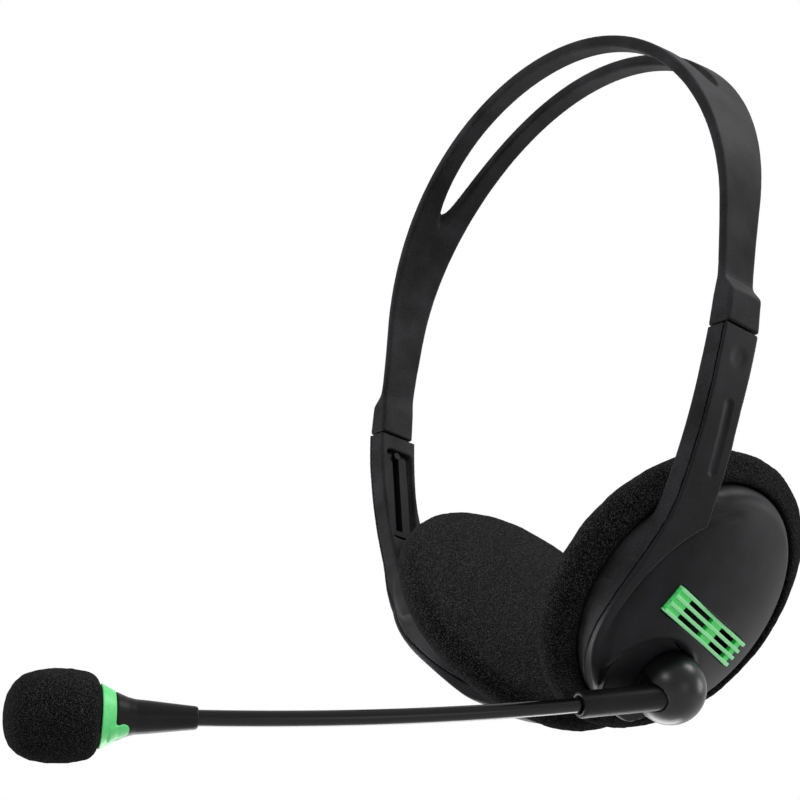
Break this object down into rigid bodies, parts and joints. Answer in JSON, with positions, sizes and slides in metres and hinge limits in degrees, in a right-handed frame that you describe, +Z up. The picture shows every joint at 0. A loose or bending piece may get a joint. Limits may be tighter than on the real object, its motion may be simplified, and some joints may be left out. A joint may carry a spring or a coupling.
{
  "type": "on-ear headset with boom microphone",
  "caption": "Light on-ear headset: slotted headband, sliding arms, round foam ear pads on tilted cups and a swinging boom microphone with a foam windscreen.",
  "frame": {"origin": "On the headset's mid-plane and the headband's middle plane, inside the arch, where the wearer's head sits", "axes": "+Z up through the crown of the headband, +X toward the wearer's left ear and the boom, -Y the way the wearer faces"},
  "size_m": [0.1168, 0.1597, 0.1884],
  "materials": {
    "grained_plastic": "black moulded plastic with a fine matte grain",
    "cover_plastic": "black moulded plastic, finely grained, a little smoother than the headband",
    "ball_plastic": "black moulded plastic with a soft sheen",
    "sleeve_plastic": "black plastic sleeve, semi-gloss",
    "neck_rubber": "smooth black rubber over a bendable core",
    "housing_rubber": "black satin plastic",
    "baffle_plastic": "black moulded plastic",
    "foam": "black open-cell foam, matte and speckled",
    "green_plastic": "bright green moulded plastic",
    "pale_green_plastic": "light green moulded plastic",
    "steel": "drawn steel",
    "driver_metal": "pressed metal",
    "magnet": "plated magnet cover",
    "driver_film": "thin clear film diaphragm",
    "washer_plastic": "natural low-friction plastic"
  },
  "bodies": {
    "headband": {"headband": "grained_plastic", "left_slide_tongue": "steel", "right_slide_tongue": "steel", "tongue_rivets": "steel"},
    "left_arm": {"left_cup_cover": "cover_plastic", "left_cup_shell": "grained_plastic", "left_stop_pin": "steel", "left_baffle": "baffle_plastic", "left_driver_basket": "driver_metal", "left_driver_magnet": "magnet", "left_driver_cone": "driver_film", "left_ear_foam": "foam", "left_cup_screws": "steel", "left_vent_grille": "green_plastic", "boom_base_ring": "cover_plastic", "boom_friction_washer": "washer_plastic"},
    "right_arm": {"right_cup_cover": "cover_plastic", "right_cup_shell": "grained_plastic", "right_stop_pin": "steel", "right_baffle": "baffle_plastic", "right_driver_basket": "driver_metal", "right_driver_magnet": "magnet", "right_driver_cone": "driver_film", "right_ear_foam": "foam", "right_cup_screws": "steel", "right_vent_grille": "green_plastic"},
    "boom": {"boom_ball": "ball_plastic", "boom_shaft": "steel", "boom_retainer": "steel", "boom_sleeve": "sleeve_plastic", "boom_neck": "neck_rubber", "mic_housing": "housing_rubber", "mic_ring": "pale_green_plastic", "mic_capsule": "driver_metal", "mic_windscreen": "foam"}
  },
  "joints": [
    {"name": "left_arm_slide", "type": "slide", "parent": "headband", "child": "left_arm", "axis": [-0.2756, 0, -0.9613], "range_m": [0, 0.02], "deforming": ["left_ear_foam"]},
    {"name": "right_arm_slide", "type": "slide", "parent": "headband", "child": "right_arm", "axis": [0.2756, 0, -0.9613], "range_m": [0, 0.02], "deforming": ["right_ear_foam"]},
    {"name": "boom_swing", "type": "hinge", "parent": "left_arm", "child": "boom", "pos_m": [0.02484, 0.02053, -0.07858], "axis": [0.8046, 0.0846, -0.5878], "range_deg": [-30, 125]}
  ]
}
